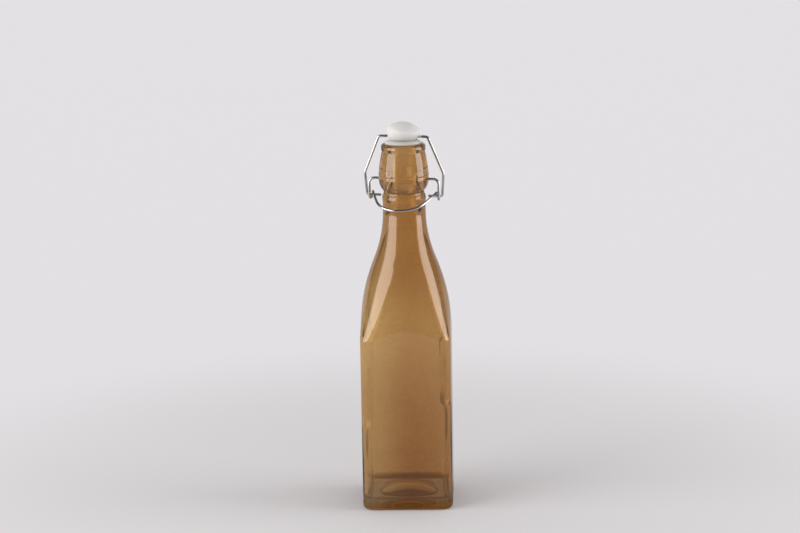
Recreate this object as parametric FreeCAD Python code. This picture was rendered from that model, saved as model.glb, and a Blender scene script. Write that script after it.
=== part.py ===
import FreeCAD, Part
import math
import os

from FreeCAD import Vector

# Swing top bottle of about half a litre. Millimetres, +Z up, origin at the centre of the base.
# The front is -Y. The wire closure is made about the X axis and then turned about the neck.

# Glass body
body_width = 65.6
body_corner_radius = 8.0
body_height = 128.0
heel_radius = 3.5
wall = 3.5
floor_thickness = 7.5
floor_corner_radius = 4.0
punt_radius = 21.0
punt_depth = 4.0

# Shoulder, from the square body to the round neck
shoulder_height = 89.0
shoulder_convex_share = 0.59
shoulder_sections = 9
shoulder_round_share = 0.71
round_side_angle = 22.5

# Neck and finish
neck_radius = 15.5
neck_wall = 3.2
neck_length = 6.5
bead_radius = 15.8
bead_height = 5.0
groove_radius = 14.7
groove_height = 4.0
pivot_bulge_radius = 18.1
pivot_bulge_rise = 7.5
upper_neck_length = 20.2
upper_neck_radius = 15.5
lip_radius = 16.1
lip_height = 5.6
lip_round = 2.2
mouth_radius = 9.4
mouth_length = 8.0
mouth_funnel = 4.0
mouth_edge = 0.8

# Wire closure
closure_turn = -11.0
wire_diameter = 1.9
pivot_clearance = 0.08
dimple_depth = 3.4
pin_end_gap = 0.3
pivot_to_eye = 12.8
lever_half_width = 25.6
lever_bend_radius = 3.8
eye_radius = 2.3
eye_pitch = 2.2
ring_reach = 24.5
ring_half_width = 13.0
ring_drop_angle = 22.0
ring_corner_radius = 19.0
bail_gap = 0.3
bail_waist_height = 16.8
bail_waist_half_width = 29.0
bail_top_half_width = 18.0
bail_foot_radius = 1.9
bail_waist_radius = 7.8
bail_bend_radius = 2.6
bail_tip_gap = 1.7

# Stopper and gasket
seat_gap = 0.3
gasket_radius = 13.0
gasket_thickness = 2.6
gasket_edge = 0.8
gasket_fit = 0.1
stem_radius = 5.6
nose_radius = 7.2
nose_tip_radius = 5.6
nose_length = 3.0
stopper_foot_radius = 8.5
stopper_rim_radius = 12.3
stopper_rim_height = 8.6
stopper_rim_edge = 1.2
stopper_dome = 4.9
bail_hole_height = 2.1


wire_radius = wire_diameter / 2
half_width = body_width / 2
neck_base = body_height + shoulder_height
bead_base = neck_base + neck_length
groove_base = bead_base + bead_height
bulge_base = groove_base + groove_height
pivot_height = bulge_base + pivot_bulge_rise
lip_base = pivot_height + upper_neck_length
lip_top = lip_base + lip_height
neck_bore_radius = neck_radius - neck_wall

eye_height = pivot_height - pivot_to_eye
eye_back = eye_radius
gasket_base = lip_top + seat_gap
stopper_base = gasket_base + gasket_thickness
bail_height = stopper_base + bail_hole_height
bail_half_width = lever_half_width + wire_diameter + bail_gap


def shoulder_half_width(share, start, end):
    # An ogee: a convex arc that leaves the body upright, then a concave one that ends upright
    drop = start - end
    if share < shoulder_convex_share:
        return start - drop * share * share / shoulder_convex_share
    rest = 1 - share
    return end + drop * rest * rest / (1 - shoulder_convex_share)


def smooth(share):
    share = min(max(share, 0.0), 1.0)
    return share * share * (3 - 2 * share)


def section_wire(half, corner, side_angle, height):
    # Four sides and four corner arcs, tangent to each other. A side angle of zero gives flat sides.
    angle = math.radians(side_angle)
    spread = math.cos(angle) - math.sin(angle)
    if side_angle == 0:
        side_end = Vector(half, half - corner, height)
    else:
        side_radius = (half - corner * spread) / (1 - spread)
        bow = side_radius * (1 - math.cos(angle))
        side_end = Vector(half - bow, side_radius * math.sin(angle), height)
    corner_centre = side_end - Vector(corner * math.cos(angle), corner * math.sin(angle), 0)
    corner_middle = corner_centre + Vector(corner * math.sqrt(0.5), corner * math.sqrt(0.5), 0)
    side_start = Vector(side_end.x, -side_end.y, height)
    corner_end = Vector(side_end.y, side_end.x, height)
    if side_angle == 0:
        side = Part.makeLine(side_start, side_end)
    else:
        side = Part.Arc(side_start, Vector(half, 0, height), side_end).toShape()
    quarter = [side, Part.Arc(side_end, corner_middle, corner_end).toShape()]
    edges = []
    for turn in range(4):
        for edge in quarter:
            copy = edge.copy()
            copy.rotate(Vector(0, 0, 0), Vector(0, 0, 1), 90 * turn)
            edges.append(copy)
    return Part.Wire(edges)


def prism(half, corner, base, top):
    face = Part.Face(section_wire(half, corner, 0, base))
    return face.extrude(Vector(0, 0, top - base))


def shoulder(start_half, start_corner, end_radius):
    wires = []
    for index in range(shoulder_sections + 1):
        share = index / shoulder_sections
        half = shoulder_half_width(share, start_half, end_radius)
        blend = smooth(share / shoulder_round_share)
        corner = half * (start_corner / start_half * (1 - blend) + blend)
        side_angle = 0 if index == 0 else round_side_angle * blend
        wires.append(section_wire(half, corner, side_angle, body_height + share * shoulder_height))
    return Part.makeLoft(wires, True, False)


def profile_point(point):
    radius, height = point
    return Vector(radius, 0, height)


def profile_lines(points):
    ends = [profile_point(point) for point in points]
    return [Part.makeLine(start, end) for start, end in zip(ends[:-1], ends[1:])]


def profile_arc(start, middle, end):
    return Part.Arc(profile_point(start), profile_point(middle), profile_point(end)).toShape()


def revolve_profile(edges):
    face = Part.Face(Part.Wire(Part.__sortEdges__(edges)))
    return face.revolve(Vector(0, 0, 0), Vector(0, 0, 1), 360)


def swell_arc(peak, end):
    # An arc that stands upright at its widest point, peak, and ends at end
    drop = peak[0] - end[0]
    rise = end[1] - peak[1]
    radius = (drop ** 2 + rise ** 2) / (2 * drop)
    middle = (peak[0] - radius + math.sqrt(radius ** 2 - (rise / 2) ** 2), peak[1] + rise / 2)
    return profile_arc(peak, middle, end)


def neck_outside():
    neck_low = (neck_radius, neck_base)
    bead_low = (neck_radius, bead_base)
    bead_peak = (bead_radius, bead_base + bead_height / 2)
    groove_low = (neck_radius, groove_base)
    groove_deep = (groove_radius, groove_base + groove_height / 2)
    bulge_low = (neck_radius, bulge_base)
    bulge_peak = (pivot_bulge_radius, pivot_height)
    lip_foot = (upper_neck_radius, lip_base)
    lip_low = (lip_radius, lip_base + lip_round)
    lip_side = (lip_radius, lip_top - lip_round)
    lip_inset = lip_round * (1 - math.sqrt(0.5))
    lip_corner = (lip_radius - lip_inset, lip_top - lip_inset)
    lip_flat = (lip_radius - lip_round, lip_top)
    edges = profile_lines([lip_flat, (0, lip_top), (0, neck_base), neck_low, bead_low])
    edges += [
        profile_arc(bead_low, bead_peak, groove_low),
        profile_arc(groove_low, groove_deep, bulge_low),
        swell_arc(bulge_peak, bulge_low),
        swell_arc(bulge_peak, lip_foot),
        swell_arc(lip_low, lip_foot),
        profile_arc(lip_side, lip_corner, lip_flat),
    ]
    edges += profile_lines([lip_low, lip_side])
    return revolve_profile(edges)


def neck_inside():
    top = lip_top + mouth_edge
    mouth_base = lip_top - mouth_length
    funnel_base = mouth_base - mouth_funnel
    points = [
        (0, top),
        (0, neck_base),
        (neck_bore_radius, neck_base),
        (neck_bore_radius, funnel_base),
        (mouth_radius, mouth_base),
        (mouth_radius, lip_top - mouth_edge),
        (mouth_radius + 2 * mouth_edge, top),
        (0, top),
    ]
    return revolve_profile(profile_lines(points))


def turned(shape):
    shape.rotate(Vector(0, 0, 0), Vector(0, 0, 1), closure_turn)
    return shape


def dimples():
    bottom = pivot_bulge_radius - dimple_depth
    hole = Part.makeCylinder(
        wire_radius + pivot_clearance, 2 * dimple_depth, Vector(bottom, 0, pivot_height), Vector(1, 0, 0)
    )
    other = hole.copy()
    other.rotate(Vector(0, 0, 0), Vector(0, 0, 1), 180)
    return [turned(hole), turned(other)]


def glass_bottle():
    body = prism(half_width, body_corner_radius, 0, body_height)
    bottom_edges = [edge for edge in body.Edges if edge.BoundBox.ZMax < 0.001]
    body = body.makeFillet(heel_radius, bottom_edges)
    outside = body.fuse([shoulder(half_width, body_corner_radius, neck_radius), neck_outside()])

    inner_half = half_width - wall
    inner_corner = body_corner_radius - wall
    cavity = prism(inner_half, inner_corner, floor_thickness, body_height)
    floor_edges = [edge for edge in cavity.Edges if edge.BoundBox.ZMax < floor_thickness + 0.001]
    cavity = cavity.makeFillet(floor_corner_radius, floor_edges)
    punt_sphere_radius = (punt_radius ** 2 + punt_depth ** 2) / (2 * punt_depth)
    punt_centre = Vector(0, 0, punt_depth - punt_sphere_radius)
    cavity = cavity.cut(Part.makeSphere(punt_sphere_radius + floor_thickness, punt_centre))
    cavity = cavity.fuse([shoulder(inner_half, inner_corner, neck_bore_radius), neck_inside()])

    punt = Part.makeSphere(punt_sphere_radius, punt_centre)
    bottle = outside.cut([cavity, punt] + dimples())
    return bottle.removeSplitter()


def rounded_path(points, radii):
    # Straight runs joined by tangent arcs, one radius for each inner point
    edges = []
    start = points[0]
    for before, corner, after, radius in zip(points[:-2], points[1:-1], points[2:], radii):
        inward = (before - corner).normalize()
        onward = (after - corner).normalize()
        half_turn = (math.pi - inward.getAngle(onward)) / 2
        setback = radius * math.tan(half_turn)
        first = corner + inward * setback
        last = corner + onward * setback
        bisector = (inward + onward).normalize()
        middle = corner + bisector * (radius / math.cos(half_turn) - radius)
        if start.distanceToPoint(first) > 0.001:
            edges.append(Part.makeLine(start, first))
        edges.append(Part.Arc(first, middle, last).toShape())
        start = last
    edges.append(Part.makeLine(start, points[-1]))
    return edges


def wire_along(edges):
    path = Part.Wire(edges)
    start = edges[0].valueAt(edges[0].FirstParameter)
    direction = edges[0].tangentAt(edges[0].FirstParameter)
    profile = Part.Wire(Part.makeCircle(wire_radius, start, direction))
    return path.makePipeShell([profile], True, False)


def arc_from(start, tangent, end):
    # The arc that leaves start along tangent and ends at end
    chord = end - start
    along = Vector(chord).normalize()
    side = (tangent - along * tangent.dot(along)).normalize()
    rise = chord.Length / 2 * math.tan(tangent.getAngle(chord) / 2)
    return Part.Arc(start, start + chord / 2 + side * rise, end).toShape()


def biarc(start, start_tangent, end, end_tangent):
    # Two arcs, tangent to each other and to both given directions
    span = end - start
    both = start_tangent + end_tangent
    bend = 2 * (1 - start_tangent.dot(end_tangent))
    reach = (math.sqrt(span.dot(both) ** 2 + bend * span.dot(span)) - span.dot(both)) / bend
    joint = (start + end + (start_tangent - end_tangent) * reach) / 2
    joint_tangent = (end - end_tangent * reach - start - start_tangent * reach).normalize()
    return [arc_from(start, start_tangent, joint), arc_from(joint, joint_tangent, end)]


def eye_point(turn, share):
    # A point of the coil round the bail end, which goes from the front under it, behind it and over it
    return Vector(
        lever_half_width - eye_pitch * share,
        eye_back - eye_radius * math.cos(turn * share),
        eye_height - eye_radius * math.sin(turn * share),
    )


def eye_tangent(turn, share):
    angle = turn * share
    climb = eye_pitch / (eye_radius * turn)
    return Vector(-climb, math.sin(angle), -math.cos(angle)).normalize()


def lever_half():
    pin_end = Vector(pivot_bulge_radius - dimple_depth + pin_end_gap, 0, pivot_height)
    shoulder_corner = Vector(lever_half_width, 0, pivot_height)
    drop = math.radians(ring_drop_angle)
    turn = 1.5 * math.pi + drop
    eye_start = eye_point(turn, 0)
    eye_back_point = eye_point(turn, 0.5)
    eye_end = eye_point(turn, 1)
    front = eye_end + Vector(0, -math.cos(drop), -math.sin(drop)) * ring_reach
    front_corner = Vector(ring_half_width, front.y, front.z)
    front_middle = Vector(0, front.y, front.z)
    ring_start = (front_corner - eye_end).normalize()
    behind = eye_tangent(turn, 0.5)

    edges = rounded_path([pin_end, shoulder_corner, eye_start], [lever_bend_radius])
    edges += biarc(eye_start, Vector(0, 0, -1), eye_back_point, behind)
    edges += biarc(eye_back_point, behind, eye_end, ring_start)
    edges += rounded_path([eye_end, front_corner, front_middle], [ring_corner_radius])
    return edges


def lever_wire():
    half = wire_along(lever_half())
    other = half.mirror(Vector(0, 0, 0), Vector(1, 0, 0))
    return turned(half.fuse(other).removeSplitter())


def bail_half():
    tip = Vector(bead_radius + bail_tip_gap, eye_back, eye_height)
    foot = Vector(bail_half_width, eye_back, eye_height)
    top = Vector(bail_top_half_width, 0, bail_height)
    middle = Vector(0, 0, bail_height)
    share = bail_waist_height / (bail_height - eye_height)
    waist = Vector(bail_waist_half_width, eye_back * (1 - share), eye_height + bail_waist_height)
    radii = [bail_foot_radius, bail_waist_radius, bail_bend_radius]
    return rounded_path([tip, foot, waist, top, middle], radii)


def bail_wire():
    half = wire_along(bail_half())
    other = half.mirror(Vector(0, 0, 0), Vector(1, 0, 0))
    return turned(half.fuse(other).removeSplitter())


def stopper():
    rim = stopper_base + stopper_rim_height
    rim_inset = stopper_rim_edge * (1 - math.sqrt(0.5))
    rim_side = (stopper_rim_radius, rim - stopper_rim_edge)
    rim_corner = (stopper_rim_radius - rim_inset, rim - rim_inset)
    rim_top = (stopper_rim_radius - stopper_rim_edge, rim)
    crown_top = rim + stopper_dome
    crown_radius = (rim_top[0] ** 2 + stopper_dome ** 2) / (2 * stopper_dome)
    crown_half = rim_top[0] / 2
    crown_middle = (crown_half, crown_top - crown_radius + math.sqrt(crown_radius ** 2 - crown_half ** 2))
    nose_top = gasket_base - gasket_fit
    points = [
        (0, crown_top),
        (0, nose_top - nose_length),
        (nose_tip_radius, nose_top - nose_length),
        (nose_radius, nose_top),
        (stem_radius, nose_top),
        (stem_radius, stopper_base),
        (stopper_foot_radius, stopper_base),
        rim_side,
    ]
    edges = profile_lines(points)
    edges += [profile_arc(rim_side, rim_corner, rim_top), profile_arc(rim_top, crown_middle, (0, crown_top))]
    body = revolve_profile(edges)
    hole = Part.makeCylinder(
        wire_radius + pivot_clearance,
        4 * stopper_rim_radius,
        Vector(-2 * stopper_rim_radius, 0, bail_height),
        Vector(1, 0, 0),
    )
    return body.cut(turned(hole))


def sealing_gasket():
    inner = stem_radius + gasket_fit
    ring = Part.makeCylinder(gasket_radius, gasket_thickness - gasket_fit, Vector(0, 0, gasket_base))
    outer_edges = [edge for edge in ring.Edges if len(edge.Vertexes) == 1 and edge.BoundBox.ZLength < 0.001]
    ring = ring.makeFillet(gasket_edge, outer_edges)
    bore = Part.makeCylinder(inner, 2 * gasket_thickness, Vector(0, 0, gasket_base - gasket_thickness / 2))
    return ring.cut(bore)


nodes = {
    "glass_bottle": glass_bottle,
    "lever_wire": lever_wire,
    "bail_wire": bail_wire,
    "stopper": stopper,
    "sealing_gasket": sealing_gasket,
}


def main():
    os.makedirs("parts", exist_ok=True)
    for name, make in nodes.items():
        shape = make()
        print(name, "solids", len(shape.Solids), "valid", shape.isValid(), "volume", round(shape.Volume, 1))
        shape.exportStep("parts/" + name + ".step")


main()
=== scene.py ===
import math

import bmesh
import bpy
from mathutils import Matrix, Quaternion, Vector, kdtree, noise


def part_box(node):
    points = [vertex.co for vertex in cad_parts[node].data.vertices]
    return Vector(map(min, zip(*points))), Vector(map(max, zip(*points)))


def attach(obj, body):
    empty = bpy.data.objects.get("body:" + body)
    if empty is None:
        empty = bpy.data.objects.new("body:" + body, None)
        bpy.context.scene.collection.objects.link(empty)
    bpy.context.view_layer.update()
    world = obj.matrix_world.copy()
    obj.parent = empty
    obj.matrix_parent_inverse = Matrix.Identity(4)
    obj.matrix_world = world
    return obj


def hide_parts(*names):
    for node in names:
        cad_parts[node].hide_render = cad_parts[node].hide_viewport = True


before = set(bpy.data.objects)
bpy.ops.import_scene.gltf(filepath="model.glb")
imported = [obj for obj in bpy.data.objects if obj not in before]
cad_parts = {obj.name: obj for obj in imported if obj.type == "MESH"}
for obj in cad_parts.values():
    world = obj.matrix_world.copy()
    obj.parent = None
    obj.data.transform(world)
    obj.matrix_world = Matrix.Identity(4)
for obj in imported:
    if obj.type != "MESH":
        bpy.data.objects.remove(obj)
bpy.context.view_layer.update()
scene = bpy.context.scene
scene.view_settings.view_transform = "Standard"
mm = 0.001  # the pieces' sizes below are in millimetres, as on a drawing
cutterSides = 24
print("frame:", ", ".join(sorted(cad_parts)))


class Signal:
    # a shader socket that can be added, subtracted and multiplied like a number

    def __init__(self, tree, socket=None):
        self.tree = tree
        self.socket = socket

    def node(self, kind, settings=None, sockets=None, output=0):
        made = self.tree.nodes.new(kind)
        for name, value in (settings or {}).items():
            setattr(made, name, value)
        for name, value in (sockets or {}).items():
            self.feed(made.inputs[name], value)
        return Signal(self.tree, made.outputs[output])

    def feed(self, target, value):
        if isinstance(value, Signal):
            self.tree.links.new(value.socket, target)
        else:
            target.default_value = value

    def maths(self, operation, first, second):
        return self.node("ShaderNodeMath", {"operation": operation}, {0: first, 1: second})

    def __add__(self, other):
        return self.maths("ADD", self, other)

    def __sub__(self, other):
        return self.maths("SUBTRACT", self, other)

    def __mul__(self, other):
        return self.maths("MULTIPLY", self, other)

    def __rsub__(self, other):
        return self.maths("SUBTRACT", other, self)

    __radd__ = __add__
    __rmul__ = __mul__


def newFinish(name):
    material = bpy.data.materials.new(name)
    material.use_nodes = True
    shader = material.node_tree.nodes["Principled BSDF"]
    return material, shader, Signal(material.node_tree)


def mixColours(start, factor, first, second):
    sockets = {"Factor": factor, 6: first, 7: second}  # the node's colours are its sockets 6 and 7
    return start.node("ShaderNodeMix", {"data_type": "RGBA"}, sockets, output=2)


def rampBetween(start, value, low, high):
    # 0 at low, 1 at high and smooth between them
    settings = {"interpolation_type": "SMOOTHSTEP"}
    return start.node("ShaderNodeMapRange", settings, {"Value": value, "From Min": low, "From Max": high})


def objectPlace(start):
    return start.node("ShaderNodeTexCoord", output="Object")


def noiseOver(start, place, scale, detail=3.0):
    return start.node("ShaderNodeTexNoise", None, {"Vector": place, "Scale": scale, "Detail": detail})


def meshPiece(name, points, faces, finish):
    mesh = bpy.data.meshes.new(name)
    mesh.from_pydata([Vector(point) * mm for point in points], [], faces)
    mesh.materials.append(finish)
    mesh.shade_smooth()
    mesh.validate()
    piece = bpy.data.objects.new(name, mesh)
    scene.collection.objects.link(piece)
    return piece


def bandFaces(first, second, sides):
    # quads between two rings of points, given by their numbers
    low, high = first * sides, second * sides
    faces = []
    for side in range(sides):
        after = (side + 1) % sides
        faces.append((low + side, low + after, high + after, high + side))
    return faces


def ringFaces(rings, sides):
    # bands between all rings, and fans to the two poles, which follow the rings' points
    faces = [face for ring in range(rings - 1) for face in bandFaces(ring, ring + 1, sides)]
    firstPole, lastPole, last = rings * sides, rings * sides + 1, (rings - 1) * sides
    for side in range(sides):
        after = (side + 1) % sides
        faces.append((firstPole, after, side))
        faces.append((lastPole, last + side, last + after))
    return faces


def plainMesh(piece):
    # the evaluated shape as a mesh of its own
    view = bpy.context.evaluated_depsgraph_get()
    return bpy.data.meshes.new_from_object(piece.evaluated_get(view))


def pinCutter(radius, length, place):
    # a round bar along x, moved to its place, that cuts the hole for a wire
    shape = bmesh.new()
    ends = {"radius1": radius * mm, "radius2": radius * mm, "depth": length * mm}
    bmesh.ops.create_cone(shape, cap_ends=True, segments=cutterSides, **ends)
    shape.transform(place @ Matrix.Rotation(math.pi / 2, 4, "Y"))
    mesh = bpy.data.meshes.new("pinCutter")
    shape.to_mesh(mesh)
    shape.free()
    cutter = bpy.data.objects.new("pinCutter", mesh)
    scene.collection.objects.link(cutter)
    return cutter


def cutAway(piece, cutter):
    modifier = piece.modifiers.new("cut", "BOOLEAN")
    modifier.operation = "DIFFERENCE"
    modifier.solver = "EXACT"
    modifier.object = cutter
    mesh = plainMesh(piece)
    piece.modifiers.clear()
    piece.data = mesh
    bpy.data.objects.remove(cutter)


def arcPoints(start, centre, end, steps):
    # points after start, along the shorter arc about centre, in radius and height
    first = math.atan2(start[1] - centre[1], start[0] - centre[0])
    last = math.atan2(end[1] - centre[1], end[0] - centre[0])
    turn = (last - first + math.pi) % (2 * math.pi) - math.pi
    radius = math.hypot(start[0] - centre[0], start[1] - centre[1])
    points = []
    for step in range(1, steps + 1):
        angle = first + turn * step / steps
        points.append((centre[0] + radius * math.cos(angle), centre[1] + radius * math.sin(angle)))
    return points


def swellCentre(peak, end):
    # centre of the arc that stands upright at its peak and passes through end
    drop = peak[0] - end[0]
    radius = (drop ** 2 + (end[1] - peak[1]) ** 2) / (2 * drop)
    return peak[0] - radius, peak[1]


def evenShares(steps):
    # even shares between 0 and 1, without the two ends
    return [step / steps for step in range(1, steps)]


def linePoints(start, end, steps):
    # points after start, evenly along a straight line
    return [tuple(a + (b - a) * share for a, b in zip(start, end)) for share in evenShares(steps) + [1]]


def quarterTurn(steps):
    # angles after 0, up to a right angle
    return [math.pi / 2 * step / steps for step in range(1, steps + 1)]


def smoothShare(share):
    share = min(max(share, 0.0), 1.0)
    return share * share * (3 - 2 * share)


# Brown glass bottle

bottleSizes = {
    "sidePoints": 16,
    "cornerPoints": 16,
    "roundSteps": 10,
    "bodySteps": 24,
    "shoulderSteps": 48,
    "wallSteps": 72,
    "funnelSteps": 24,
    "sharpAngle": 40.0,
    "bodyCorner": 8.0,
    "bodyHeight": 130.5,
    "heel": 3.5,  # round of the outer edge at the foot
    "wall": 2.4,
    "floor": 7.5,
    "floorCorner": 4.0,
    "puntRadius": 21.0,  # hollow under the base
    "puntDepth": 4.0,
    "archDrop": 7.0,  # from the top of the arch to the corners, at the foot of the shoulder
    "archEdge": 0.8,
    "archFade": 4,  # power with which the arch fades up the shoulder
    "shoulderHeight": 86.5,
    "convexShare": 0.59,  # part of the shoulder that curves outwards, before the neck curves in
    "roundShare": 0.71,  # part of the shoulder over which the square turns round
    "roundEarly": 0.7,  # 0 turns it evenly, more turns it sooner
    "roundSide": 22.5,  # half the angle that a side takes on a round ring
    "neckRadius": 15.5,
    "boreRadius": 12.3,
    "neckLength": 6.5,
    "beadRadius": 15.8,
    "beadHeight": 5.0,
    "grooveRadius": 14.7,
    "grooveHeight": 4.0,
    "bulgeRadius": 18.1,
    "bulgeRise": 7.5,
    "upperNeck": 20.2,  # from the widest place of the bulge to the foot of the lip
    "upperNeckRadius": 15.5,
    "lipRadius": 16.1,
    "lipRound": 2.2,
    "mouthRadius": 9.4,
    "mouthLength": 26.0,
    "funnel": 14.0,  # length over which the bore widens below the mouth
    "mouthEdge": 0.8,
    "dimpleDepth": 3.4,
    "dimpleRadius": 1.03,
    "seamRise": 3.4,  # parting line above the widest place of the bulge
    "seamHeight": 0.22,
    "seamWidth": 0.35,
}

# how the blown wall differs from an even one: its inner corners are fuller above a step on each side
wallSizes = {
    "cornerAbove": 8.2,
    "cornerBelow": 6.2,
    "rightStep": (76.5, 82.5),
    "leftStep": (59.0, 70.0),
    "ripple": 0.4,
    "rippleLength": 34.0,
    "boreTop": 258.0,
    "boreFade": 8.0,
    "boreRipple": 0.12,
    "boreLength": 9.0,
}

glassSizes = {
    "ior": 1.52,
    "bodyTint": (0.93, 0.96, 0.92, 1.0),
    "bodyDensity": 8.0,
    "clear": (1.0, 1.0, 1.0, 1.0),
    "coatLight": (0.69, 0.44, 0.165, 1.0),
    "coatDark": (0.275, 0.08, 0.003, 1.0),
    "coatSpeck": (0.1, 0.05, 0.02, 1.0),
    "coatAndShade": -0.02,  # 0 is all coatLight, 1 is all coatDark
    # painted shade: the coating is darker in the middle of each face
    "middleShade": 0.25,
    "faceHalf": 33.0,
    "rightShade": 5.0,  # painted shade: darker for each metre to the right
    # from one height to another, and how much denser the coating gets: painted shade low on the body and on
    # the shoulder, darker at the base, lighter on the neck
    "bands": ((135.0, 60.0, 0.25), (136.0, 180.0, 0.17), (12.0, 4.0, 0.4), (225.0, 262.0, -0.2)),
    "mottle": 0.3,
    "cloudScale": 22.0,
    "grainScale": 800.0,
    "speckScale": 150.0,
    "speckEdge": (0.06, 0.03),
    "haze": 0.015,
}

closureTurn = math.radians(-11.0)  # the wires stand turned about the neck


def bulgeHeight():
    # the widest place of the bulge, where the wires turn
    names = ("bodyHeight", "shoulderHeight", "neckLength", "beadHeight", "grooveHeight", "bulgeRise")
    return sum(bottleSizes[name] for name in names)


def sectionRing(half, corner, sideAngle, height):
    # four sides and four corner arcs, tangent to each other; no side angle gives flat sides
    size = bottleSizes
    angle = math.radians(sideAngle)
    spread = math.cos(angle) - math.sin(angle)
    flat = sideAngle == 0
    sideRadius = 0 if flat else (half - corner * spread) / (1 - spread)
    endX = half if flat else half - sideRadius * (1 - math.cos(angle))
    endY = half - corner if flat else sideRadius * math.sin(angle)
    centre = (endX - corner * math.cos(angle), endY - corner * math.sin(angle))
    quarter = []
    for step in range(size["sidePoints"]):
        share = 2 * step / size["sidePoints"] - 1
        if flat:
            quarter.append((half, share * endY))
        else:
            lean = share * angle
            quarter.append((half - sideRadius * (1 - math.cos(lean)), sideRadius * math.sin(lean)))
    for step in range(size["cornerPoints"]):
        lean = angle + (math.pi / 2 - 2 * angle) * step / size["cornerPoints"]
        quarter.append((centre[0] + corner * math.cos(lean), centre[1] + corner * math.sin(lean)))
    ring = list(quarter)
    for turn in range(3):
        quarter = [(-y, x) for x, y in quarter]
        ring += quarter
    return [(x, y, height) for x, y in ring]


def roundRing(radius, height):
    return sectionRing(radius, radius, bottleSizes["roundSide"], height)


def betweenRings(first, last, steps):
    pairs = [(Vector(a), Vector(b)) for a, b in zip(first, last)]
    return [[a.lerp(b, share) for a, b in pairs] for share in evenShares(steps)]


def archOffsets():
    # how far each point of a ring lies below the top of the arch at the foot of the shoulder
    size = bottleSizes
    side = [abs(2 * step / size["sidePoints"] - 1) for step in range(size["sidePoints"])]
    quarter = [size["archDrop"] * across ** 2 for across in side] + [size["archDrop"]] * size["cornerPoints"]
    return quarter * 4


def bodyRing(ring, share):
    # an upright ring moved to its share of the height between the heel and the arch
    size = bottleSizes
    top = size["bodyHeight"] + size["archDrop"] / 2
    moved = []
    for (x, y, height), drop in zip(ring, archOffsets()):
        moved.append((x, y, size["heel"] + (top - drop - size["heel"]) * share))
    return moved


def shoulderRing(share, startHalf, startCorner, endRadius):
    # one ring of the shoulder, which narrows, turns round and loses the arch on its way up
    size = bottleSizes
    narrowing = startHalf - endRadius
    if share < size["convexShare"]:
        half = startHalf - narrowing * share ** 2 / size["convexShare"]
    else:
        half = endRadius + narrowing * (1 - share) ** 2 / (1 - size["convexShare"])
    turned = min(share / size["roundShare"], 1.0)
    blend = turned * (1 + size["roundEarly"] * (1 - turned))
    corner = half * (startCorner / startHalf * (1 - blend) + blend)
    height = size["bodyHeight"] + share * size["shoulderHeight"]
    ring = sectionRing(half, corner, size["roundSide"] * blend, height)
    fade = (1 - share) ** size["archFade"]
    return [(x, y, z + (size["archDrop"] / 2 - drop) * fade) for (x, y, z), drop in zip(ring, archOffsets())]


def blownRing(full, thin):
    # the inner face of the wall, from a ring with fuller corners and one with thinner corners
    size = wallSizes
    reach = max(point[0] for point in full)
    moved = []
    for point, thinPoint in zip(full, thin):
        low, high = size["rightStep" if point[0] > 0 else "leftStep"]
        x, y, z = Vector(thinPoint).lerp(Vector(point), smoothShare((point[2] - low) / (high - low)))
        wave = size["ripple"] * noise.noise(Vector((x, y, z)) / size["rippleLength"])
        moved.append((x - wave * x * abs(x) / reach ** 2, y, z))
    return moved


def neckProfile(lipTop):
    # the outside from the shoulder up and over the lip, and the bore down again, in radius and height
    size = bottleSizes
    base = size["bodyHeight"] + size["shoulderHeight"]
    beadLow = (size["neckRadius"], base + size["neckLength"])
    beadPeak = (size["beadRadius"], beadLow[1] + size["beadHeight"] / 2)
    grooveLow = (size["neckRadius"], beadLow[1] + size["beadHeight"])
    grooveRise = size["grooveHeight"] / 2
    grooveDeep = (size["grooveRadius"], grooveLow[1] + grooveRise)
    bulgeLow = (size["neckRadius"], grooveLow[1] + size["grooveHeight"])
    bulgePeak = (size["bulgeRadius"], bulgeLow[1] + size["bulgeRise"])
    lipFoot = (size["upperNeckRadius"], bulgePeak[1] + size["upperNeck"])
    lipLow = (size["lipRadius"], lipFoot[1] + size["lipRound"])
    lipSide = (size["lipRadius"], lipTop - size["lipRound"])
    lipFlat = (size["lipRadius"] - size["lipRound"], lipTop)
    edge = size["mouthEdge"]
    mouthTop = (size["mouthRadius"] + edge, lipTop)
    mouthSide = (size["mouthRadius"], lipTop - edge)
    mouthBase = (size["mouthRadius"], lipTop - size["mouthLength"])
    funnelBase = (size["boreRadius"], mouthBase[1] - size["funnel"])
    grooveDepth = size["neckRadius"] - size["grooveRadius"]
    grooveArc = (grooveRise ** 2 + grooveDepth ** 2) / (2 * grooveDepth)
    grooveCentre = (size["grooveRadius"] + grooveArc, grooveDeep[1])
    outside = [(size["neckRadius"], base)]
    outside += linePoints(outside[-1], beadLow, steps=4)
    outside += arcPoints(beadLow, swellCentre(beadPeak, beadLow), grooveLow, steps=10)
    outside += arcPoints(grooveLow, grooveCentre, bulgeLow, steps=10)
    outside += arcPoints(bulgeLow, swellCentre(bulgePeak, bulgeLow), bulgePeak, steps=12)
    seam = bulgePeak[1] + size["seamRise"]
    for radius, height in arcPoints(bulgePeak, swellCentre(bulgePeak, lipFoot), lipFoot, steps=72):
        ridge = size["seamHeight"] * math.exp(-(((height - seam) / size["seamWidth"]) ** 2))
        outside.append((radius + ridge, height))
    outside += arcPoints(lipFoot, swellCentre(lipLow, lipFoot), lipLow, steps=6)
    outside += linePoints(lipLow, lipSide, steps=2)
    outside += arcPoints(lipSide, (lipFlat[0], lipSide[1]), lipFlat, steps=8)
    outside += linePoints(lipFlat, mouthTop, steps=4)
    bore = arcPoints(mouthTop, (mouthTop[0], mouthSide[1]), mouthSide, steps=6)
    bore += linePoints(mouthSide, mouthBase, steps=6)
    for share in evenShares(size["funnelSteps"]) + [1]:
        radius = mouthBase[0] + (funnelBase[0] - mouthBase[0]) * smoothShare(share)
        bore.append((radius, mouthBase[1] - size["funnel"] * share))
    bore += linePoints(funnelBase, (size["boreRadius"], base), steps=8)
    return outside, bore


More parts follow.
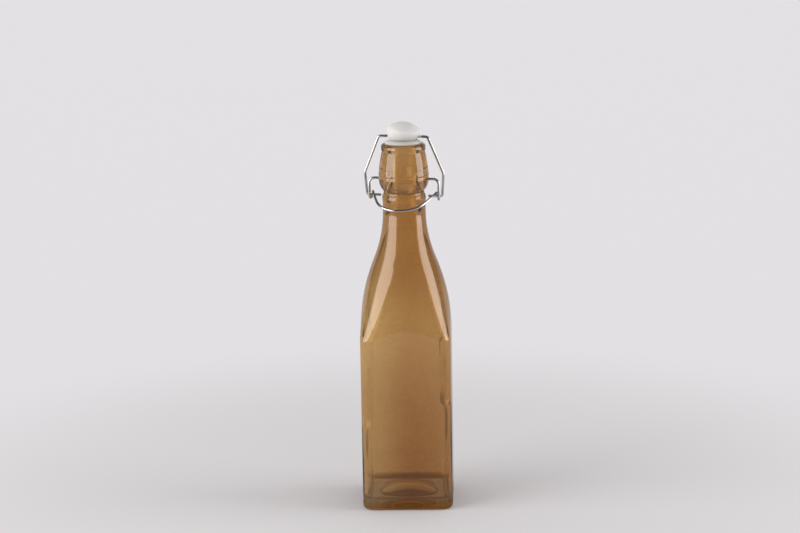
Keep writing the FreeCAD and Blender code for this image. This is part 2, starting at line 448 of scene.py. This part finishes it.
def rippledRing(ring):
    # the bore is as uneven as blowing left it, but stays smooth at the mouth
    size = wallSizes
    fade = smoothShare((size["boreTop"] - ring[0][2]) / size["boreFade"])
    moved = []
    for x, y, z in ring:
        wave = size["boreRipple"] * fade * noise.noise(Vector((x, y, z)) / size["boreLength"])
        moved.append((x * (1 + wave), y * (1 + wave), z))
    return moved


def puntArc():
    # radius of the hollow under the base, and the height of its centre
    size = bottleSizes
    radius = (size["puntRadius"] ** 2 + size["puntDepth"] ** 2) / (2 * size["puntDepth"])
    return radius, size["puntDepth"] - radius


def domeRings(footRadius, arc, centre):
    # round rings of a low dome, from its middle out to its foot
    steps = bottleSizes["roundSteps"]
    radii = [footRadius * step / steps for step in range(1, steps + 1)]
    return [roundRing(radius, centre + math.sqrt(arc ** 2 - radius ** 2)) for radius in radii]


def outerRings(half):
    # from the middle of the base, round the heel and up to the top of the shoulder
    size = bottleSizes
    rings = domeRings(size["puntRadius"], *puntArc())
    heelFoot = sectionRing(half - size["heel"], size["bodyCorner"] - size["heel"], 0, 0)
    rings += betweenRings(rings[-1], heelFoot, steps=5) + [heelFoot]
    for lean in quarterTurn(size["roundSteps"]):
        inset, height = size["heel"] * (1 - math.sin(lean)), size["heel"] * (1 - math.cos(lean))
        rings.append(sectionRing(half - inset, size["bodyCorner"] - inset, 0, height))
    upright = sectionRing(half, size["bodyCorner"], 0, size["heel"])
    archFoot = 1 - size["archEdge"] / size["bodyHeight"]  # a ring just under the arch keeps its line crisp
    rings += [bodyRing(upright, share) for share in evenShares(size["bodySteps"]) + [archFoot, 1]]
    for share in evenShares(size["shoulderSteps"]):
        rings.append(shoulderRing(share, half, size["bodyCorner"], size["neckRadius"]))
    return rings


def innerRings(half):
    # from the top of the shoulder down the inside of the wall, and over the floor to its middle
    size = bottleSizes
    fullCorner, thinCorner = wallSizes["cornerAbove"], wallSizes["cornerBelow"]
    rings = []
    for share in reversed(evenShares(size["shoulderSteps"])):
        ring = shoulderRing(share, half, fullCorner, size["boreRadius"])
        rings.append(blownRing(ring, ring))
    floorTop = size["floor"] + size["floorCorner"]
    uprights = []
    for corner in (fullCorner, thinCorner):
        top = shoulderRing(0, half, corner, size["boreRadius"])
        foot = sectionRing(half, corner, 0, floorTop)
        uprights.append([top] + betweenRings(top, foot, size["wallSteps"]) + [foot])
    rings += [blownRing(full, thin) for full, thin in zip(*uprights)]
    for lean in quarterTurn(size["roundSteps"]):
        inset = size["floorCorner"] * (1 - math.cos(lean))
        height = floorTop - size["floorCorner"] * math.sin(lean)
        ring = sectionRing(half - inset, thinCorner - inset, 0, height)
        rings.append(blownRing(ring, ring))
    arc, centre = puntArc()
    arc += size["floor"]
    dome = domeRings(math.sqrt(arc ** 2 - (size["floor"] - centre) ** 2), arc, centre)[::-1]
    return rings + betweenRings(rings[-1], dome[0], steps=3) + dome


def bottleRings():
    size = bottleSizes
    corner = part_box("glass_bottle")[1]
    half, lipTop = corner.x / mm, corner.z / mm
    outside, bore = neckProfile(lipTop)
    rings = outerRings(half)
    rings += [roundRing(radius, height) for radius, height in outside]
    rings += [rippledRing(roundRing(radius, height)) for radius, height in bore]
    rings += innerRings(half - size["wall"])
    return rings, [(0, 0, size["puntDepth"]), (0, 0, size["puntDepth"] + size["floor"])]


def markCoating(bottle, rings):
    # the outer skin carries the coating, from the base up to the flat of the lip
    lipTop = max(ring[0][2] for ring in rings)
    lipFlat = next(index for index, ring in enumerate(rings) if ring[0][2] == lipTop)
    tree = kdtree.KDTree(sum(len(ring) for ring in rings))
    for index, ring in enumerate(rings):
        for point in ring:
            tree.insert(Vector(point) * mm, index)
    tree.balance()
    marks = bottle.data.attributes.new("coated", "FLOAT", "POINT")
    for vertex in bottle.data.vertices:
        marks.data[vertex.index].value = float(tree.find(vertex.co)[1] <= lipFlat)


def dimpleCutter(side):
    # the bar's middle lies on the bulge, so half of it cuts into the glass
    size = bottleSizes
    spot = Vector((side * size["bulgeRadius"], 0, bulgeHeight()))
    place = Matrix.Rotation(closureTurn, 4, "Z") @ Matrix.Translation(spot * mm)
    return pinCutter(size["dimpleRadius"], 2 * size["dimpleDepth"], place)


def brownGlass():
    # clear glass under a thin brown coating, so the colour sits on the surface and not in the depth; the
    # coating's tone varies at random, and painted shade darkens it in places
    size = glassSizes
    material, shader, start = newFinish("brownGlass")
    shader.inputs["Transmission Weight"].default_value = 1.0
    shader.inputs["IOR"].default_value = size["ior"]
    place = objectPlace(start)
    x, y, z = (start.node("ShaderNodeSeparateXYZ", None, {0: place}, output=axis) for axis in "XYZ")
    across = start.maths("MINIMUM", start.maths("ABSOLUTE", x, 0.0), start.maths("ABSOLUTE", y, 0.0))
    cloud = noiseOver(start, place, size["cloudScale"])
    grain = noiseOver(start, place, size["grainScale"], detail=1.0)
    # the coating's tone varies at random with the clouds and grain; painted shade makes it darker to the
    # right
    coatAndShade = (cloud + grain) * size["mottle"] + x * size["rightShade"] + size["coatAndShade"]
    # painted shade, darker in the middle of each face and lighter towards the corners
    coatAndShade = coatAndShade + rampBetween(start, across, size["faceHalf"] * mm, 0.0) * size["middleShade"]
    # painted shade low on the body and on the shoulder; the coating is also darker at the base and lighter on
    # the neck
    for fromHeight, toHeight, amount in size["bands"]:
        coatAndShade = coatAndShade + rampBetween(start, z, fromHeight * mm, toHeight * mm) * amount
    coat = mixColours(start, coatAndShade, size["coatLight"], size["coatDark"])
    dots = start.node("ShaderNodeTexVoronoi", None, {"Vector": place, "Scale": size["speckScale"]})
    outer, inner = size["speckEdge"]
    speck = start.node("ShaderNodeMapRange", None, {"Value": dots, "From Min": outer, "From Max": inner})
    coat = mixColours(start, speck, coat, size["coatSpeck"])
    coated = start.node("ShaderNodeAttribute", {"attribute_name": "coated"}, output="Fac")
    start.feed(shader.inputs["Base Color"], mixColours(start, coated, size["clear"], coat))
    start.feed(shader.inputs["Roughness"], cloud * size["haze"])
    depth = {"Color": size["bodyTint"], "Density": size["bodyDensity"]}
    output = material.node_tree.nodes["Material Output"]
    start.feed(output.inputs["Volume"], start.node("ShaderNodeVolumeAbsorption", None, depth))
    return material


def makeBottle():
    size = bottleSizes
    rings, poles = bottleRings()
    sides = 4 * (size["sidePoints"] + size["cornerPoints"])
    points = [point for ring in rings for point in ring] + poles
    bottle = meshPiece("glassBottle", points, ringFaces(len(rings), sides), brownGlass())
    for side in (1, -1):
        cutAway(bottle, dimpleCutter(side))
    bottle.data.set_sharp_from_angle(angle=math.radians(size["sharpAngle"]))
    markCoating(bottle, rings)
    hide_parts("glass_bottle")
    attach(bottle, "bottle")
    print("bottle:", len(bottle.data.polygons), "faces")


# Wire closure: a lever that turns in the neck and a bail that turns in its eyes

wireSizes = {
    "diameter": 1.9,
    "sides": 20,
    "bendStep": 6.0,
    "endChamfer": 0.3,
    "sharpAngle": 50.0,
    "eyeDrop": 12.8,
    "eyeRadius": 2.3,
}

leverSizes = {
    "pinEnd": 15.0,
    "half": 25.6,
    "legBend": 3.8,
    "eyePitch": 2.2,
    "eyeSteps": 40,
    "ringReach": 24.5,
    "ringHalf": 13.0,
    "ringDrop": 22.0,
    "ringCorner": 19.0,
}

bailSizes = {
    "tip": 17.5,
    "footHalf": 27.8,
    "waistHalf": 29.0,
    "waistRise": 16.8,
    "topHalf": 18.0,
    "height": 270.8,
    "footBend": 1.9,
    "waistBend": 7.8,
    "topBend": 2.6,
}

wireFinish = {
    "dull": (0.58, 0.59, 0.60, 1),
    "bright": (0.76, 0.76, 0.77, 1),
    "streakAlong": 60.0,
    "streakAround": 9.0,
    "roughness": 0.12,
    "roughSpread": 0.16,
    "bump": 0.15,
    "bumpDepth": 0.1,
}


def bentPath(points, radii):
    # straight runs joined by tangent arcs, one radius for each inner point
    path = [points[0]]
    for before, corner, after, radius in zip(points, points[1:], points[2:], radii):
        inward = (before - corner).normalized()
        onward = (after - corner).normalized()
        turn = math.pi - inward.angle(onward)
        setback = radius * math.tan(turn / 2)
        centre = corner + (inward + onward).normalized() * radius / math.cos(turn / 2)
        spoke = corner + inward * setback - centre
        axis = spoke.cross(corner + onward * setback - centre).normalized()
        steps = max(3, round(math.degrees(turn) / wireSizes["bendStep"]))
        for step in range(steps + 1):
            path.append(centre + Quaternion(axis, turn * step / steps) @ spoke)
    return path + [points[-1]]


def leverHalfPath():
    # from the pin in the bulge down the leg, round the eye and along the ring to its middle
    size, eyeRadius = leverSizes, wireSizes["eyeRadius"]
    pivot = bulgeHeight()
    eyeHeight = pivot - wireSizes["eyeDrop"]
    drop = math.radians(size["ringDrop"])
    turn = 1.5 * math.pi + drop  # three quarters of a turn, and on into the slope of the ring
    eye = []
    for step in range(size["eyeSteps"] + 1):
        share = step / size["eyeSteps"]
        aside = size["half"] - size["eyePitch"] * smoothShare(share)
        back = eyeRadius * (1 - math.cos(turn * share))
        eye.append(Vector((aside, back, eyeHeight - eyeRadius * math.sin(turn * share))))
    pin, corner = Vector((size["pinEnd"], 0, pivot)), Vector((size["half"], 0, pivot))
    leg = bentPath([pin, corner, eye[0]], [size["legBend"]])
    forward = eye[-1] + Vector((0, -math.cos(drop), -math.sin(drop))) * size["ringReach"]
    frontCorner = Vector((size["ringHalf"], forward.y, forward.z))
    ring = bentPath([eye[-1], frontCorner, Vector((0, forward.y, forward.z))], [size["ringCorner"]])
    return leg + eye[1:-1] + ring


def bailHalfPath():
    # from the tip in the lever's eye out and up over the waist to the middle of the top
    size, back = bailSizes, wireSizes["eyeRadius"]
    eyeHeight = bulgeHeight() - wireSizes["eyeDrop"]
    share = size["waistRise"] / (size["height"] - eyeHeight)
    points = [
        Vector((size["tip"], back, eyeHeight)),
        Vector((size["footHalf"], back, eyeHeight)),
        Vector((size["waistHalf"], back * (1 - share), eyeHeight + size["waistRise"])),
        Vector((size["topHalf"], 0, size["height"])),
        Vector((0, 0, size["height"])),
    ]
    return bentPath(points, [size["footBend"], size["waistBend"], size["topBend"]])


def wireTree():
    # sweeps a circle along a curve, and keeps how far along and around each point lies
    tree = bpy.data.node_groups.new("bentWire", "GeometryNodeTree")
    inputs = {"Geometry": "Geometry", "Wire diameter": "Float", "Sides": "Int", "Finish": "Material"}
    for name, kind in inputs.items():
        tree.interface.new_socket(name, in_out="INPUT", socket_type="NodeSocket" + kind)
    tree.interface.new_socket("Geometry", in_out="OUTPUT", socket_type="NodeSocketGeometry")
    add, link = tree.nodes.new, tree.links.new
    given, made = add("NodeGroupInput"), add("NodeGroupOutput")
    halve = add("ShaderNodeMath")
    halve.operation = "DIVIDE"
    halve.inputs[1].default_value = 2
    link(given.outputs["Wire diameter"], halve.inputs[0])
    profile = add("GeometryNodeCurvePrimitiveCircle")
    link(given.outputs["Sides"], profile.inputs["Resolution"])
    link(halve.outputs[0], profile.inputs["Radius"])
    along, around = add("GeometryNodeSplineParameter"), add("GeometryNodeSplineParameter")
    keepAlong, keepAround = add("GeometryNodeStoreNamedAttribute"), add("GeometryNodeStoreNamedAttribute")
    keepAlong.inputs["Name"].default_value = "wireAlong"
    keepAround.inputs["Name"].default_value = "wireAround"
    link(given.outputs["Geometry"], keepAlong.inputs["Geometry"])
    link(along.outputs["Length"], keepAlong.inputs["Value"])
    link(profile.outputs["Curve"], keepAround.inputs["Geometry"])
    link(around.outputs["Factor"], keepAround.inputs["Value"])
    sweep = add("GeometryNodeCurveToMesh")
    sweep.inputs["Fill Caps"].default_value = True
    link(keepAlong.outputs["Geometry"], sweep.inputs["Curve"])
    link(keepAround.outputs["Geometry"], sweep.inputs["Profile Curve"])
    link(add("GeometryNodeInputRadius").outputs[0], sweep.inputs["Scale"])
    soften, realize = add("GeometryNodeSetShadeSmooth"), add("GeometryNodeRealizeInstances")
    paint = add("GeometryNodeSetMaterial")
    link(sweep.outputs["Mesh"], soften.inputs["Geometry"])
    link(soften.outputs["Geometry"], realize.inputs["Geometry"])
    link(realize.outputs["Geometry"], paint.inputs["Geometry"])
    link(given.outputs["Finish"], paint.inputs["Material"])
    link(paint.outputs["Geometry"], made.inputs["Geometry"])
    return tree


def wirePiece(name, halfPath, tree, finish):
    # the half path and its mirror image make one curve, which the tree turns into a wire
    size = wireSizes
    mirrored = [Vector((-point.x, point.y, point.z)) for point in halfPath]
    path = halfPath + mirrored[-2::-1]
    chamfer = size["endChamfer"]
    path.insert(1, path[0] + (path[1] - path[0]).normalized() * chamfer)
    path.insert(-1, path[-1] + (path[-2] - path[-1]).normalized() * chamfer)
    turn = Matrix.Rotation(closureTurn, 3, "Z")
    curve = bpy.data.curves.new(name, "CURVE")
    curve.dimensions = "3D"
    spline = curve.splines.new("POLY")
    spline.points.add(len(path) - 1)
    for point, place in zip(spline.points, path):
        point.co = (*(turn @ place * mm), 1)
        point.radius = 1
    for end in (0, -1):
        spline.points[end].radius = 1 - 2 * chamfer / size["diameter"]
    guide = bpy.data.objects.new(name + "Guide", curve)
    scene.collection.objects.link(guide)
    modifier = guide.modifiers.new("bentWire", "NODES")
    modifier.node_group = tree
    inputs = {item.name: item.identifier for item in tree.interface.items_tree if item.in_out == "INPUT"}
    modifier[inputs["Wire diameter"]] = size["diameter"] * mm
    modifier[inputs["Sides"]] = size["sides"]
    modifier[inputs["Finish"]] = finish
    guide.update_tag()
    mesh = plainMesh(guide)
    bpy.data.objects.remove(guide)
    mesh.set_sharp_from_angle(angle=math.radians(size["sharpAngle"]))
    piece = bpy.data.objects.new(name, mesh)
    scene.collection.objects.link(piece)
    return piece


def brightWire():
    # drawn steel, with faint streaks along the wire
    size = wireFinish
    material, shader, start = newFinish("brightWire")
    along = start.node("ShaderNodeAttribute", {"attribute_name": "wireAlong"}, output="Fac")
    around = start.node("ShaderNodeAttribute", {"attribute_name": "wireAround"}, output="Fac")
    spot = {"X": along * size["streakAlong"], "Y": around * size["streakAround"]}
    streak = noiseOver(start, start.node("ShaderNodeCombineXYZ", None, spot), 1.0)
    start.feed(shader.inputs["Base Color"], mixColours(start, streak, size["dull"], size["bright"]))
    start.feed(shader.inputs["Roughness"], streak * size["roughSpread"] + size["roughness"])
    shader.inputs["Metallic"].default_value = 1.0
    relief = {"Strength": size["bump"], "Distance": size["bumpDepth"] * mm, "Height": streak}
    start.feed(shader.inputs["Normal"], start.node("ShaderNodeBump", None, relief))
    return material


def makeWires():
    tree, finish = wireTree(), brightWire()
    for name, halfPath in (("lever", leverHalfPath()), ("bail", bailHalfPath())):
        piece = wirePiece(name + "Wire", halfPath, tree, finish)
        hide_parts(name + "_wire")
        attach(piece, name)
        print(piece.name + ":", len(piece.data.polygons), "faces")


# Stopper and gasket

stopperSizes = {
    "sides": 96,
    "sharpAngle": 60.0,
    "base": 268.7,
    "noseGap": 0.1,
    "noseTip": 5.6,
    "noseRadius": 7.2,
    "noseLength": 3.0,
    "noseMiddle": 0.5,
    "stem": 5.6,
    "footRadius": 10.0,
    "rimRadius": 12.3,
    "rimHeight": 7.1,
    "rimEdge": 0.9,
    "dome": 5.5,
    "domeMiddle": 0.4,
    "bowl": 0.5,  # how far the side of the head swells
    "bowlSteps": 12,
    "holeRadius": 1.03,
    "leanRight": 7.5,
    "leanForward": 3.0,
}

gasketSizes = {
    "sides": 96,
    "sharpAngle": 50.0,
    "base": 266.1,
    "thickness": 2.5,
    "radius": 13.0,
    "edge": 0.7,
    "rim": 1.6,
    "bore": 5.7,
    "squash": 0.25,  # how far the seal is pressed down towards the lip
}

whitePlastic = {
    "shade": (0.57, 0.56, 0.55, 1),
    "light": (0.61, 0.60, 0.59, 1),
    "cloudScale": 220.0,
    "roughness": 0.55,
    "roughSpread": 0.1,
    "gloss": 0.25,
    "milkiness": 1.0,
    "milkColour": (1.0, 0.9, 0.85),
    "milkDepth": 25.0,
}

paleSeal = {
    "shade": (0.55, 0.51, 0.47, 1),
    "light": (0.63, 0.59, 0.55, 1),
    "cloudScale": 300.0,
    "roughness": 0.55,
    "roughSpread": 0.1,
    "gloss": 0.25,
    "milkiness": 0.9,
    "milkColour": (1.0, 0.85, 0.8),
    "milkDepth": 8.0,
}


def mouldedFinish(name, size):
    # dull and slightly milky, with faint clouds of colour
    material, shader, start = newFinish(name)
    cloud = noiseOver(start, objectPlace(start), size["cloudScale"])
    start.feed(shader.inputs["Base Color"], mixColours(start, cloud, size["shade"], size["light"]))
    start.feed(shader.inputs["Roughness"], cloud * size["roughSpread"] + size["roughness"])
    shader.inputs["Specular IOR Level"].default_value = size["gloss"]
    shader.inputs["Subsurface Weight"].default_value = size["milkiness"]
    shader.inputs["Subsurface Radius"].default_value = size["milkColour"]
    shader.inputs["Subsurface Scale"].default_value = size["milkDepth"] * mm
    return material


def latheRings(profile, sides):
    rings = []
    for radius, height in profile:
        angles = [2 * math.pi * side / sides for side in range(sides)]
        rings.append([(radius * math.cos(angle), radius * math.sin(angle), height) for angle in angles])
    return rings


def stopperProfile():
    # nose, stem, bowl and domed crown, in radius and height, with the two poles
    size = stopperSizes
    noseTop = gasketSizes["base"] - size["noseGap"]
    noseBase = noseTop - size["noseLength"]
    base, edge = size["base"], size["rimEdge"]
    rim = base + size["rimHeight"]
    crown = rim + size["dome"]
    points = [(size["noseMiddle"], noseBase), (size["noseTip"], noseBase)]
    points += linePoints(points[-1], (size["noseRadius"], noseTop), steps=3)
    points += linePoints(points[-1], (size["stem"], noseTop), steps=2)
    points += linePoints(points[-1], (size["stem"], base), steps=2)
    points += linePoints(points[-1], (size["footRadius"], base), steps=3)
    for share in evenShares(size["bowlSteps"]) + [1]:
        swell = size["bowl"] * 4 * share * (1 - share)
        radius = size["footRadius"] + (size["rimRadius"] - size["footRadius"]) * share + swell
        points.append((radius, base + size["rimHeight"] * share))
    edgeCentre = Vector((size["rimRadius"] - edge, rim))  # the edge runs smoothly into the crown's arc
    crownArc = (edgeCentre.x ** 2 + size["dome"] ** 2 - edge ** 2) / (2 * (size["dome"] - edge))
    crownCentre = Vector((0, crown - crownArc))
    crownEdge = crownCentre + (edgeCentre - crownCentre).normalized() * crownArc
    points += arcPoints(points[-1], edgeCentre, crownEdge, steps=8)
    points += arcPoints(crownEdge, crownCentre, (size["domeMiddle"], crown), steps=20)
    return points, [(0, 0, noseBase), (0, 0, crown)]


def leanedPoint(point):
    # the head sits a little crooked on its level foot
    size = stopperSizes
    foot = Vector((0, 0, size["base"]))
    share = smoothShare((point[2] - size["base"]) / size["rimHeight"])
    lean = Matrix.Rotation(math.radians(size["leanRight"]) * share, 3, "Y")
    lean = Matrix.Rotation(math.radians(size["leanForward"]) * share, 3, "X") @ lean
    return foot + lean @ (Vector(point) - foot)


def makeStopper():
    size = stopperSizes
    profile, poles = stopperProfile()
    rings = latheRings(profile, size["sides"])
    points = [leanedPoint(point) for point in [point for ring in rings for point in ring] + poles]
    finish = mouldedFinish("whitePlastic", whitePlastic)
    stopper = meshPiece("stopperHead", points, ringFaces(len(rings), size["sides"]), finish)
    lift = Matrix.Translation((0, 0, bailSizes["height"] * mm))
    place = lift @ Matrix.Rotation(closureTurn, 4, "Z")
    cutAway(stopper, pinCutter(size["holeRadius"], 4 * size["rimRadius"], place))
    stopper.data.set_sharp_from_angle(angle=math.radians(size["sharpAngle"]))
    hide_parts("stopper")
    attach(stopper, "stopper")
    print("stopper:", len(stopper.data.polygons), "faces")


def gasketProfile():
    # a flat ring with a rounded rim, that rises to the foot of the stopper
    size = gasketSizes
    low, high = size["base"] - size["squash"], size["base"] + size["thickness"]
    outer, bore, edge = size["radius"], size["bore"], size["edge"]
    rim = low + size["rim"]
    points = [(bore, low)]
    points += linePoints(points[-1], (outer - edge, low), steps=4)
    points += arcPoints(points[-1], (outer - edge, low + edge), (outer, low + edge), steps=6)
    points += linePoints(points[-1], (outer, rim - edge), steps=2)
    points += arcPoints(points[-1], (outer - edge, rim - edge), (outer - edge, rim), steps=6)
    points += linePoints(points[-1], (stopperSizes["footRadius"], high), steps=6)
    points += linePoints(points[-1], (bore, high), steps=4)
    return points


def makeGasket():
    size = gasketSizes
    rings = latheRings(gasketProfile(), size["sides"])
    count = len(rings)
    points = [point for ring in rings for point in ring]
    faces = [face for ring in range(count) for face in bandFaces(ring, (ring + 1) % count, size["sides"])]
    gasket = meshPiece("sealingGasket", points, faces, mouldedFinish("paleSeal", paleSeal))
    gasket.data.set_sharp_from_angle(angle=math.radians(size["sharpAngle"]))
    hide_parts("sealing_gasket")
    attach(gasket, "stopper")
    print("gasket:", len(gasket.data.polygons), "faces")


# Floor, lights and camera, in metres

stageSizes = {
    "floorSide": 40.0,
    "floorRoughness": 0.8,
    "floorRoughSpread": 0.1,
    "floorGrain": 2.0,
    "floorGloss": 0.1,
    "floorColour": (0.765, 0.745, 0.76, 1),
    "shadeNear": (0.65, 0.63, 0.64, 1),
    "floorFar": (0.76, 0.74, 0.76, 1),
    "shadowUnder": (0.27, 0.215, 0.175, 1),
    "underRadius": 0.03,
    "nearRadius": 0.07,
    "farRadius": 0.5,
    "tableFront": 0.6,
    "tableEdge": 0.02,
    "frontShade": 0.35,
    "fill": 0.58,
    "backdrop": (0.76, 0.74, 0.76, 1),
    "room": (0.08, 0.08, 0.085, 1),
    "frontDark": (0.3, -0.3),  # directions between which the room turns dark
    "overheadDark": (0.12, 0.45),
    "overheadThrough": 0.45,
    "sideDark": (0.5, 0.85),
    "sideShade": 0.95,
    "boxDistance": 1.3,
    "boxLow": 0.0,
    "boxHeight": 0.92,
    "leftTurn": -66.0,
    "leftWidth": 1.15,
    "rightTurn": 84.0,
    "rightWidth": 0.85,
    "boxPower": 14.3,
    "boxColour": (1.0, 0.985, 0.97),
}

cameraSizes = {
    "lens": 120.5,
    "sensor": 36.0,
    "distance": 1.9,
    "height": 0.591,
    "turn": 2.0,
    "aimHeight": 0.175,
    "aimSide": -0.0038,
    "roll": -1.0,
    "clipEnd": 100.0,
}


def rayKind(start, name):
    return start.node("ShaderNodeLightPath", output=name)


def seenRays(start):
    # rays that pass through the glass, and rays that only mirror
    through = rayKind(start, "Is Transmission Ray")
    return through, rayKind(start, "Is Glossy Ray") * (1 - through)


def paleFloor():
    # takes real shadow near the bottle, and shows its plain colour farther off; to the glass and wires it
    # shows a painted shadow under the bottle and painted shade near it, and to mirrored rays it is also
    # dimmed towards the room colour as painted shade, fully in front of tableFront
    size = stageSizes
    material, shader, start = newFinish("paleFloor")
    place = objectPlace(start)
    back = start.node("ShaderNodeSeparateXYZ", None, {0: place}, output="Y")
    away = start.node("ShaderNodeVectorMath", {"operation": "LENGTH"}, {0: place}, output="Value")
    near = rampBetween(start, away, size["nearRadius"], size["farRadius"])
    under = rampBetween(start, away, size["underRadius"], size["nearRadius"])
    through, mirrored = seenRays(start)
    front = rampBetween(start, back, -size["tableFront"], -size["tableFront"] - size["tableEdge"])
    front = (front * (1 - size["frontShade"]) + size["frontShade"]) * mirrored
    shown = start.maths("MAXIMUM", through, start.maths("MAXIMUM", mirrored, near))
    # painted shade: the floor is darker near the bottle, for rays through the glass and mirrored rays
    pale = mixColours(start, near, size["shadeNear"], size["floorFar"])
    # painted shadow: a dark brown patch under the bottle, for rays through the glass and mirrored rays
    pale = mixColours(start, under, size["shadowUnder"], pale)
    glow = mixColours(start, front, pale, size["room"])
    black = (0, 0, 0, 1)
    start.feed(shader.inputs["Base Color"], mixColours(start, shown, size["floorColour"], black))
    start.feed(shader.inputs["Emission Color"], mixColours(start, shown, black, glow))
    shader.inputs["Emission Strength"].default_value = 1.0
    grain = noiseOver(start, place, size["floorGrain"], detail=2.0)
    start.feed(shader.inputs["Roughness"], grain * size["floorRoughSpread"] + size["floorRoughness"])
    shader.inputs["Specular IOR Level"].default_value = size["floorGloss"]
    return material


def makeFloor():
    half = stageSizes["floorSide"] / 2
    corners = [(-half, -half, 0), (half, -half, 0), (half, half, 0), (-half, half, 0)]
    mesh = bpy.data.meshes.new("floor")
    mesh.from_pydata(corners, [], [(0, 1, 2, 3)])
    mesh.materials.append(paleFloor())
    floor = bpy.data.objects.new("floor", mesh)
    scene.collection.objects.link(floor)


def makeWorld():
    # a pale studio that lights evenly; glass and wires see it dark overhead, at the sides and in front
    size = stageSizes
    world = bpy.data.worlds.new("studio")
    scene.world = world
    world.use_nodes = True
    tree = world.node_tree
    start = Signal(tree)
    tree.nodes.clear()
    towards = start.node("ShaderNodeTexCoord", output="Generated")
    aside, back, up = (start.node("ShaderNodeSeparateXYZ", None, {0: towards}, output=axis) for axis in "XYZ")
    through, mirrored = seenRays(start)
    front = rampBetween(start, back, *size["frontDark"]) * mirrored
    overhead = rampBetween(start, up, *size["overheadDark"]) * (1 - through * size["overheadThrough"])
    sides = rampBetween(start, start.maths("ABSOLUTE", aside, 0.0), *size["sideDark"]) * size["sideShade"]
    dark = start.maths("MAXIMUM", start.maths("MAXIMUM", front, overhead), sides)
    studio = mixColours(start, dark, size["backdrop"], size["room"])
    fill = (size["fill"], size["fill"], size["fill"], 1)
    lit = mixColours(start, start.maths("MAXIMUM", mirrored, through), fill, studio)
    shown = mixColours(start, rayKind(start, "Is Camera Ray"), lit, size["backdrop"])
    sky = start.node("ShaderNodeBackground", None, {"Color": shown, "Strength": 1.0})
    output = tree.nodes.new("ShaderNodeOutputWorld")
    start.feed(output.inputs["Surface"], sky)


def makeSoftbox(name, turn, width):
    size = stageSizes
    light = bpy.data.lights.new(name, "AREA")
    light.shape = "RECTANGLE"
    light.size, light.size_y = width, size["boxHeight"]
    light.energy = size["boxPower"] * width / size["leftWidth"]
    light.color = size["boxColour"]
    lamp = bpy.data.objects.new(name, light)
    angle = math.radians(turn + cameraSizes["turn"])
    outward = Vector((math.sin(angle), -math.cos(angle), 0))
    lamp.location = outward * size["boxDistance"] + Vector((0, 0, size["boxLow"] + size["boxHeight"] / 2))
    lamp.rotation_euler = (-outward).to_track_quat("-Z", "Y").to_euler()
    lamp.visible_camera = False
    scene.collection.objects.link(lamp)


def makeCamera():
    size = cameraSizes
    data = bpy.data.cameras.new("camera")
    data.sensor_width, data.lens = size["sensor"], size["lens"]
    data.clip_end = size["clipEnd"]
    camera = bpy.data.objects.new("camera", data)
    turn = math.radians(size["turn"])
    aside = Vector((math.cos(turn), math.sin(turn), 0)) * size["aimSide"]
    aim = aside + Vector((0, 0, size["aimHeight"]))
    camera.location = aside + Vector((math.sin(turn), -math.cos(turn), 0)) * size["distance"]
    camera.location.z = size["height"]
    facing = (aim - camera.location).to_track_quat("-Z", "Y")
    camera.rotation_mode = "QUATERNION"
    camera.rotation_quaternion = facing @ Quaternion((0, 0, 1), math.radians(size["roll"]))
    scene.collection.objects.link(camera)
    scene.camera = camera


makeCamera()
makeFloor()
makeWorld()
makeSoftbox("leftSoftbox", stageSizes["leftTurn"], stageSizes["leftWidth"])
makeSoftbox("rightSoftbox", stageSizes["rightTurn"], stageSizes["rightWidth"])
print("studio: floor, world, two softboxes and the camera")
makeBottle()
makeWires()
makeStopper()
makeGasket()
